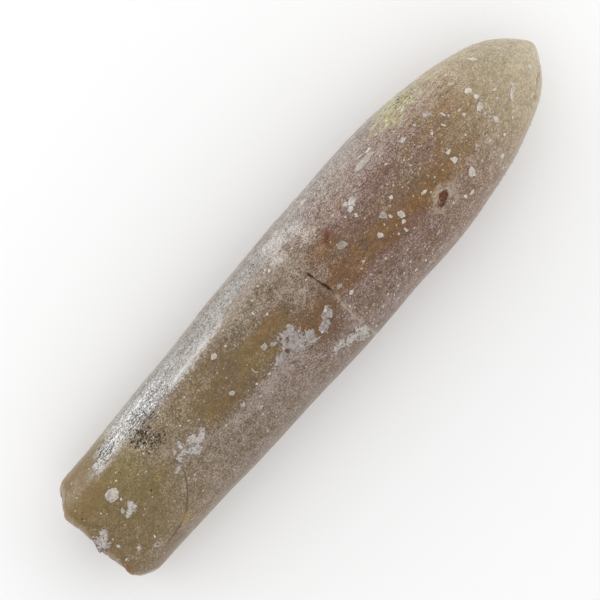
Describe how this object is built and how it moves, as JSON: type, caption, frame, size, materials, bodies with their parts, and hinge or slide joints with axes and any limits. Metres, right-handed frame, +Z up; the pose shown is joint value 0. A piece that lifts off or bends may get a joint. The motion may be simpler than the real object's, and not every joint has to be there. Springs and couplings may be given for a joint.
{
  "type": "fossil belemnite guard",
  "caption": "Loose belemnite guard in cloudy brown calcite: a stout bullet shape with a blunt apex, a rough broken front end, a healed fracture across it and chalk crusts, lying on a surface.",
  "frame": {"origin": "middle of the footprint, on the surface that the guard lies on", "axes": "+X along the guard towards its blunt apex, +Y across it, +Z up"},
  "size_m": [0.1004, 0.0228, 0.0212],
  "materials": {
    "cloudy_calcite": "worn, satin, slightly see-through brown calcite with a pale frosted bloom",
    "chalk_and_shell": "matt pale chalk crust and chips of shell"
  },
  "bodies": {
    "root": {"rostrum": "cloudy_calcite"}
  },
  "joints": []
}
